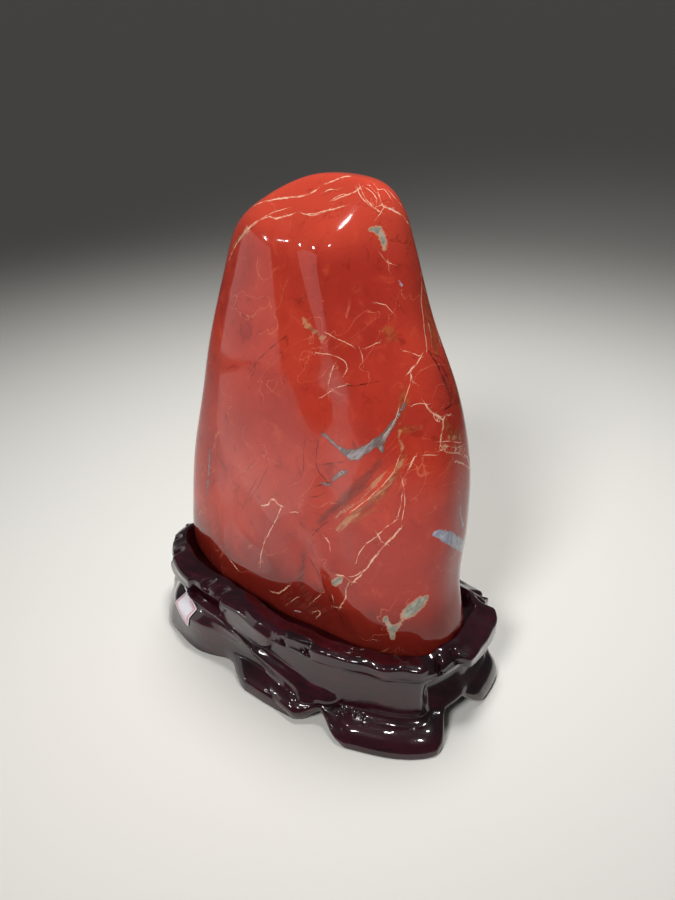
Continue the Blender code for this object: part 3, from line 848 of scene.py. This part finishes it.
def jasper():
    """Red jasper, ground and polished: opaque iron-red silica with a glassy skin and seams of chalcedony."""
    made, tree = new_material("red_jasper_polished")
    at = add(tree, "TexCoord", "Object", {})
    # The whole pattern is stirred by up to 6 mm, as silt was before it set
    stir = add(tree, "TexNoise", "Color", {"Vector": at, "Scale": per_mm(30.0), "Detail": 2.0})
    stir = add(tree, "VectorMath", 0, {0: stir, 1: (0.5, 0.5, 0.5)}, operation="SUBTRACT")
    stirred = add(tree, "VectorMath", 0, {0: stir, 1: (0.012, 0.012, 0.012), 2: at}, operation="MULTIPLY_ADD")

    # Clouds of deeper and brighter red 70 mm across, with mottling of 12 mm in them
    clouds = add(tree, "TexNoise", "Fac", {"Vector": stirred, "Scale": per_mm(70.0), "Detail": 3.0})
    mottle = add(tree, "TexNoise", "Fac", {
        "Vector": stirred, "Scale": per_mm(12.0), "Detail": 5.0, "Roughness": 0.6, "Distortion": 0.6,
    })
    # By height in metres, with edges ragged by up to 30 mm: painted top light, a brighter orange-red over the
    # crown where the light from above falls, and painted shade, a dark brown over the foot down in the stand's
    # seat
    height = add(tree, "SeparateXYZ", 2, {0: at})
    uneven = add(tree, "TexNoise", "Fac", {"Vector": at, "Scale": per_mm(25.0)})
    height = add(tree, "Math", 0, {0: uneven, 1: 0.03, 2: height}, operation="MULTIPLY_ADD")
    base = tinted(tree, linear("#A62E22"), (
        (clouds, 0.36, 0.64, 1.0, "#BE3C2A"),
        (mottle, 0.54, 0.74, 0.5, "#CC4E36"),
        (mottle, 0.44, 0.28, 0.5, "#7E1C14"),
        # Painted top light over the crown
        (height, 0.310, 0.345, 0.75, "#C84632"),
        # Painted shade over the foot
        (height, 0.115, 0.075, 0.70, "#541612"),
    ))

    # The stone was sheared along a line that climbs to the right, which drew its own veins out 2.4 times
    drawn = add(tree, "Mapping", 0, {
        "Vector": stirred, "Rotation": SHEAR, "Scale": (2.4, 1.0, 1.0),
    }, vector_type="TEXTURE")
    # Each kind of vein keeps to areas 45 mm across
    where = add(tree, "TexNoise", "Fac", {"Vector": at, "Scale": per_mm(45.0), "Detail": 2.0})
    front = add(tree, "Attribute", "Fac", {}, attribute_name="front")
    for size, level, half, shown, behind, before, colour in WANDERING_VEINS:
        wander = add(tree, "TexNoise", "Fac", {
            "Vector": drawn, "Scale": per_mm(size), "Detail": 4.0, "Roughness": 0.45, "Distortion": 0.8,
        })
        off = add(tree, "Math", 0, {0: wander, 1: level}, operation="SUBTRACT")
        off = add(tree, "Math", 0, {0: off}, operation="ABSOLUTE")
        line = add(tree, "MapRange", 0, {"Value": off, "From Min": half, "From Max": half * 0.3}, **SOFT)
        here = add(tree, "MapRange", 0, {"Value": where, "From Min": shown[0], "From Max": shown[1]}, **SOFT)
        strength = add(tree, "MapRange", 0, {"Value": front, "To Min": behind, "To Max": before})
        line = add(tree, "Math", 0, {0: line, 1: here}, operation="MULTIPLY")
        line = add(tree, "Math", 0, {0: line, 1: strength}, operation="MULTIPLY")
        base = add(tree, "Mix", 2, {0: line, 6: base, 7: linear(colour)}, **COLOUR)

    # The marks read from the front, their edges broken up by grains of 2.2 mm and by threads 3 mm apart,
    # which the same shear drew out 7 times
    grain = add(tree, "TexNoise", "Fac", {
        "Vector": at, "Scale": per_mm(2.2), "Detail": 4.0, "Roughness": 0.65,
    })
    sheared = add(tree, "Mapping", 0, {
        "Vector": at, "Rotation": SHEAR, "Scale": (7.0, 1.0, 1.0),
    }, vector_type="TEXTURE")
    threads = add(tree, "TexNoise", "Fac", {
        "Vector": sheared, "Scale": per_mm(3.0), "Detail": 4.0, "Roughness": 0.6,
    })
    ragged = add(tree, "Math", 0, {0: threads, 1: 6.0, 2: -4.3}, operation="MULTIPLY_ADD")
    ragged = add(tree, "Math", 0, {0: grain, 1: 2.6, 2: ragged}, operation="MULTIPLY_ADD")
    mingled = add(tree, "MapRange", 0, {"Value": threads, "From Min": 0.40, "From Max": 0.60}, **SOFT)
    bruised = None
    for name, spread, soft, rough, strength, first, second in MARK_LOOKS:
        edge = add(tree, "Attribute", "Fac", {}, attribute_name=name + "_edge")
        edge = add(tree, "Math", 0, {0: ragged, 1: rough, 2: edge}, operation="MULTIPLY_ADD")
        share = add(tree, "MapRange", 0, {
            "Value": edge, "From Min": spread + soft, "From Max": spread - soft, "To Max": strength,
        }, **SOFT)
        colour = add(tree, "Mix", 2, {0: mingled, 6: linear(first), 7: linear(second)}, **COLOUR)
        base = add(tree, "Mix", 2, {0: share, 6: base, 7: colour}, **COLOUR)
        if name == "brown":
            bruised = share

    # Thin veins and cracks, drawn where their signed offset is within a half width or so of zero
    wobble = add(tree, "TexNoise", "Color", {"Vector": at, "Scale": per_mm(3.5), "Detail": 3.0})
    wobble = add(tree, "VectorMath", 0, {
        0: wobble, 1: (4.0, 4.0, 4.0), 2: (-2.0, -2.0, -2.0),
    }, operation="MULTIPLY_ADD")
    broken = add(tree, "TexNoise", "Fac", {"Vector": at, "Scale": per_mm(5.0), "Detail": 2.0})
    broken = add(tree, "MapRange", 0, {
        "Value": broken, "From Min": 0.34, "From Max": 0.56, "To Min": 0.3,
    }, **SOFT)
    for name, colour, faded in (("crack", "#52180F", "#6E241A"), ("cream", "#F0C2A4", "#D8805E")):
        offset = add(tree, "Attribute", "Vector", {}, attribute_name=name + "_offset")
        offset = add(tree, "VectorMath", 0, {0: offset, 1: wobble}, operation="ADD")
        offset = add(tree, "VectorMath", 0, {0: offset}, operation="ABSOLUTE")
        offset = add(tree, "SeparateXYZ", None, {0: offset})
        reach = add(tree, "Attribute", "Vector", {}, attribute_name=name + "_reach")
        reach = add(tree, "SeparateXYZ", None, {0: reach})
        lines = 0.0
        for axis in range(3):
            line = add(tree, "MapRange", 0, {
                "Value": offset.outputs[axis], "From Min": 1.6, "From Max": 0.5, "To Max": 0.90,
            }, **SOFT)
            line = add(tree, "Math", 0, {0: line, 1: reach.outputs[axis]}, operation="MULTIPLY")
            lines = add(tree, "Math", 0, {0: line, 1: lines}, operation="MAXIMUM")
        lines = add(tree, "Math", 0, {0: lines, 1: broken}, operation="MULTIPLY")
        colour = add(tree, "Mix", 2, {0: broken, 6: linear(faded), 7: linear(colour)}, **COLOUR)
        base = add(tree, "Mix", 2, {0: lines, 6: base, 7: colour}, **COLOUR)

    # Polished by hand: shallow waves 28 mm apart, and lumps of 7 mm where the bruised zones took less polish
    waves = add(tree, "TexNoise", "Fac", {
        "Vector": at, "Scale": per_mm(28.0), "Detail": 1.0, "Roughness": 0.4,
    })
    lumps = add(tree, "TexNoise", "Fac", {"Vector": at, "Scale": per_mm(7.0), "Detail": 3.0})
    pits = add(tree, "Math", 0, {0: bruised, 1: lumps}, operation="MULTIPLY")
    relief = add(tree, "Math", 0, {0: pits, 1: -0.10, 2: waves}, operation="MULTIPLY_ADD")
    skin = add(tree, "Bump", 0, {"Strength": 0.4, "Distance": 0.0006, "Height": relief})
    # Hands have dulled it a little in areas 40 mm across
    handled = add(tree, "TexNoise", "Fac", {"Vector": at, "Scale": per_mm(40.0), "Detail": 2.0})
    shine = add(tree, "MapRange", 0, {
        "Value": handled, "From Min": 0.35, "From Max": 0.70, "To Min": 0.04, "To Max": 0.10,
    }, **SOFT)
    shader = add(tree, "BsdfPrincipled", 0, {
        "Base Color": base, "Roughness": shine, "Normal": skin, "IOR": 1.54,
    })
    add(tree, "OutputMaterial", None, {"Surface": shader})
    return made


def lacquered_wood():
    """Carved hardwood under deep purple-red lacquer: near black, its grain just showing under the gloss."""
    made, tree = new_material("hardwood_in_purple_red_lacquer")
    at = add(tree, "TexCoord", "Object", {})
    # The grain runs along the stand, in streaks 40 mm long and 2.4 mm wide
    along = add(tree, "Mapping", 0, {"Vector": at, "Scale": (0.06, 1.0, 1.0)})
    streaks = add(tree, "TexNoise", "Fac", {
        "Vector": along, "Scale": per_mm(2.4), "Detail": 4.0, "Roughness": 0.6, "Distortion": 0.4,
    })
    # The lacquer lies deeper in some places than in others, 35 mm across
    clouds = add(tree, "TexNoise", "Fac", {"Vector": at, "Scale": per_mm(35.0), "Detail": 3.0})
    base = tinted(tree, linear("#17030A"), (
        (clouds, 0.36, 0.64, 1.0, "#2C0713"),
        (streaks, 0.52, 0.72, 0.5, "#4C1020"),
        (streaks, 0.44, 0.30, 0.6, "#12040A"),
    ))
    # Knife work left shallow waves under the lacquer, 12 mm across
    waves = add(tree, "TexNoise", "Fac", {
        "Vector": at, "Scale": per_mm(12.0), "Detail": 2.0, "Roughness": 0.5,
    })
    relief = add(tree, "Math", 0, {0: streaks, 1: 0.06, 2: waves}, operation="MULTIPLY_ADD")
    skin = add(tree, "Bump", 0, {"Strength": 0.35, "Distance": 0.0008, "Height": relief})
    shader = add(tree, "BsdfPrincipled", 0, {
        "Base Color": base, "Roughness": 0.30, "Normal": skin, "Specular IOR Level": 0.2,
        "Coat Weight": 1.0, "Coat Roughness": 0.04, "Coat IOR": 1.62, "Coat Normal": skin,
    })
    add(tree, "OutputMaterial", None, {"Surface": shader})
    return made


# Print lines of the label: distance in from its edge and half width, and how soft the ink's edge is, in mm
LABEL_BORDER = ((1.5, 0.40), (2.7, 0.20))
INK_EDGE = 0.08


def label_paper():
    """Machine-made label paper, matt and white, printed with a plain double red border."""
    made, tree = new_material("label_paper_with_red_border")
    spot = add(tree, "SeparateXYZ", None, {0: add(tree, "UVMap", 0, {}, uv_map="print")})
    inset = max(LABEL_SIZE)
    for axis in (0, 1):
        off = add(tree, "Math", 0, {0: spot.outputs[axis], 1: 0.5}, operation="SUBTRACT")
        off = add(tree, "Math", 0, {0: off}, operation="ABSOLUTE")
        side = LABEL_SIZE[axis]
        off = add(tree, "Math", 0, {0: off, 1: -side, 2: side / 2}, operation="MULTIPLY_ADD")
        inset = add(tree, "Math", 0, {0: off, 1: inset}, operation="MINIMUM")
    printed = 0.0
    for middle, half in LABEL_BORDER:
        off = add(tree, "Math", 0, {0: inset, 1: middle}, operation="SUBTRACT")
        off = add(tree, "Math", 0, {0: off}, operation="ABSOLUTE")
        line = add(tree, "MapRange", 0, {
            "Value": off, "From Min": half + INK_EDGE, "From Max": half - INK_EDGE, "To Max": 0.85,
        }, **SOFT)
        printed = add(tree, "Math", 0, {0: line, 1: printed}, operation="MAXIMUM")
    # Paper fibres, 1.2 mm long
    at = add(tree, "TexCoord", "Object", {})
    fibre = add(tree, "TexNoise", "Fac", {"Vector": at, "Scale": per_mm(1.2), "Detail": 3.0})
    paper = tinted(tree, linear("#D8D4DC"), ((fibre, 0.3, 0.7, 1.0, "#E6E2E8"),))
    base = add(tree, "Mix", 2, {0: printed, 6: paper, 7: linear("#C23A48")}, **COLOUR)
    skin = add(tree, "Bump", 0, {"Strength": 0.2, "Distance": 0.0001, "Height": fibre})
    shader = add(tree, "BsdfPrincipled", 0, {"Base Color": base, "Roughness": 0.55, "Normal": skin})
    add(tree, "OutputMaterial", None, {"Surface": shader})
    return made


def table_top():
    """Pale painted board, matt: the plain floor."""
    made, tree = new_material("pale_painted_board")
    at = add(tree, "TexCoord", "Object", {})
    # Roller texture, about 3 mm across
    stipple = add(tree, "TexNoise", "Fac", {"Vector": at, "Scale": per_mm(3.0), "Detail": 2.0})
    skin = add(tree, "Bump", 0, {"Strength": 0.1, "Distance": 0.0002, "Height": stipple})
    shader = add(tree, "BsdfPrincipled", 0, {
        "Base Color": linear("#E2E0DA"), "Roughness": 0.7, "Specular IOR Level": 0.2, "Normal": skin,
    })
    add(tree, "OutputMaterial", None, {"Surface": shader})
    return made


# Pieces


def make_stone():
    stone = shaped("stone_polished", cube_sphere, STONE_CELLS, stone_surface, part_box("stone"))
    stone.data.materials.append(jasper())
    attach(stone, "root")
    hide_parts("stone")
    return stone


def make_stand():
    """The carved stand, with its seat cut to the stone's own foot."""
    stand = shaped("stand_carved", ringed_sphere, STAND_COLUMNS, stand_surface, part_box("stand"))
    cutter = shaped("seat_cutter", cube_sphere, SOCKET_CELLS, stone_surface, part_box("stone"))
    grow = cutter.modifiers.new("grow", "DISPLACE")
    grow.strength = GAP * MM
    grow.mid_level = 0.0
    seat = stand.modifiers.new("seat", "BOOLEAN")
    seat.operation = "DIFFERENCE"
    seat.solver = "MANIFOLD"
    seat.object = cutter
    applied(stand)
    bpy.data.objects.remove(cutter)
    # The cut leaves many-sided faces and slivers along its edge
    shape = bmesh.new()
    shape.from_mesh(stand.data)
    bmesh.ops.triangulate(shape, faces=[face for face in shape.faces if len(face.verts) > 4])
    bmesh.ops.dissolve_degenerate(shape, dist=SHORTEST_EDGE * MM, edges=shape.edges)
    shape.to_mesh(stand.data)
    shape.free()
    stand.data.shade_smooth()
    stand.data.materials.clear()
    stand.data.materials.append(lacquered_wood())
    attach(stand, "root")
    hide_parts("stand")
    return stand


def make_label(stand):
    """A thin sheet laid on the leg: it follows the wood a hair above it."""
    shape = bmesh.new()
    across, up = LABEL_CELLS
    bmesh.ops.create_grid(shape, x_segments=across, y_segments=up, size=0.5, calc_uvs=False)
    prints = shape.loops.layers.uv.new("print")
    for face in shape.faces:
        for corner in face.loops:
            corner[prints].uv = (corner.vert.co.x + 0.5, corner.vert.co.y + 0.5)
    size = Matrix.Diagonal((LABEL_SIZE[0] * MM, LABEL_SIZE[1] * MM, 1.0, 1.0))
    bmesh.ops.transform(shape, matrix=size, verts=shape.verts)
    mesh = bpy.data.meshes.new("price_label_paper")
    shape.to_mesh(mesh)
    shape.free()
    label = bpy.data.objects.new("price_label_paper", mesh)
    bpy.context.scene.collection.objects.link(label)
    laid = Matrix.Translation(in_frame(np.array(LABEL_AT)))
    for angle, axis in ((LABEL_BEARING, "Z"), (90.0 - LABEL_LEAN, "X"), (LABEL_TURN, "Z")):
        laid = laid @ Matrix.Rotation(math.radians(angle), 4, axis)
    label.matrix_world = laid
    lay = label.modifiers.new("lay", "SHRINKWRAP")
    lay.target = stand
    lay.wrap_method = "PROJECT"
    lay.wrap_mode = "ABOVE_SURFACE"
    lay.use_project_z = True
    lay.use_negative_direction = True
    lay.use_positive_direction = True
    lay.offset = LABEL_LIFT * MM
    paper = label.modifiers.new("paper", "SOLIDIFY")
    paper.thickness = LABEL_SIZE[2] * MM
    paper.offset = 1.0
    applied(label)
    label.data.transform(label.matrix_world)
    label.matrix_world = Matrix.Identity(4)
    label.data.shade_smooth()
    label.data.materials.clear()
    label.data.materials.append(label_paper())
    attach(label, "root")
    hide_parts("price_label")


# Floor and light


def lay_floor():
    shape = bmesh.new()
    bmesh.ops.create_circle(shape, cap_ends=True, segments=96, radius=25.0)
    mesh = bpy.data.meshes.new("floor")
    shape.to_mesh(mesh)
    shape.free()
    mesh.materials.append(table_top())
    floor = bpy.data.objects.new("floor", mesh)
    bpy.context.scene.collection.objects.link(floor)


def hang(name, kind, at, aim, power, **settings):
    """A lamp that isn't seen itself, hung at one place and aimed at another."""
    lamp = bpy.data.lights.new(name, kind)
    lamp.energy = power
    for setting, value in settings.items():
        setattr(lamp, setting, value)
    made = bpy.data.objects.new(name, lamp)
    made.location = at
    made.rotation_euler = (Vector(at) - Vector(aim)).to_track_quat("Z", "Y").to_euler()
    made.visible_camera = False
    bpy.context.scene.collection.objects.link(made)
    return made


def hang_spot(name, at, aim, power, cone, softness):
    """A soft round pool of light that doesn't show as a window in the polish."""
    cone = math.radians(cone)
    made = hang(name, "SPOT", at, aim, power, spot_size=cone, spot_blend=1.0, shadow_soft_size=softness)
    made.visible_glossy = False


def hang_panel(name, at, aim, size, power, only=None):
    """A light that only shows as a highlight in the polish, of one piece alone where that is given."""
    made = hang(name, "AREA", at, aim, power, shape="RECTANGLE", size=size[0], size_y=size[1])
    made.visible_diffuse = False
    if only:
        lit = bpy.data.collections.new("lit_by_" + name)
        lit.objects.link(only)
        made.light_linking.receiver_collection = lit


def light_studio(stone, stand):
    middle = (0.0, 0.0, 0.12)
    crown = (0.02, -0.01, 0.32)
    hang_spot("overhead", (-0.15, 0.45, 2.2), (0.0, 0.10, 0.0), 145.0, 54.0, 0.35)
    hang_spot("front_fill", (0.35, -1.7, 1.5), (0.0, 0.0, 0.24), 168.0, 32.0, 0.30)
    # Small ceiling lights: place, aim, size, power and the piece whose polish shows it, or both pieces
    for number, ceiling_light in enumerate((
        ((-1.37, -1.29, 1.43), crown, (0.02, 0.09), 0.7, None),
        ((-1.79, -1.18, 0.79), crown, (0.04, 0.08), 0.9, None),
        ((-1.42, -1.49, 1.12), crown, (0.03, 0.03), 0.35, None),
        ((-0.20, 0.0, 2.1), middle, (0.25, 0.05), 2.2, stand),
        ((-0.85, -0.55, 2.0), middle, (0.05, 0.12), 1.0, None),
        ((0.90, -0.30, 1.9), middle, (0.14, 0.14), 4.0, stand),
        ((0.50, 0.75, 2.0), middle, (0.14, 0.22), 5.0, stand),
        ((-0.30, -0.90, 2.0), middle, (0.12, 0.12), 3.0, stand),
    )):
        hang_panel("ceiling_%d" % number, *ceiling_light)
    # A pale screen left of the object, which the left facet of the stone mirrors, and a pale sheet on the
    # table in front of it, which the lower left of the stone mirrors
    hang_panel("screen_left", (-0.87, -0.365, 0.21), (0.0, -0.02, 0.26), (0.60, 0.42), 0.45)
    hang_panel("screen_foot", (-0.47, -0.355, 0.002), (-0.47, -0.355, 1.0), (0.62, 0.49), 0.34, stone)
    # The rest of the room is dim, and its light is the same from all sides
    world = bpy.data.worlds.new("dim_room")
    world.use_nodes = True
    world.node_tree.nodes["Background"].inputs["Color"].default_value = (0.07, 0.07, 0.07, 1.0)
    bpy.context.scene.world = world
    bpy.context.scene.view_settings.view_transform = "Standard"


camera = place_camera()
stone = make_stone()
mark_stone(stone, camera)
stand = make_stand()
make_label(stand)
lay_floor()
light_studio(stone, stand)
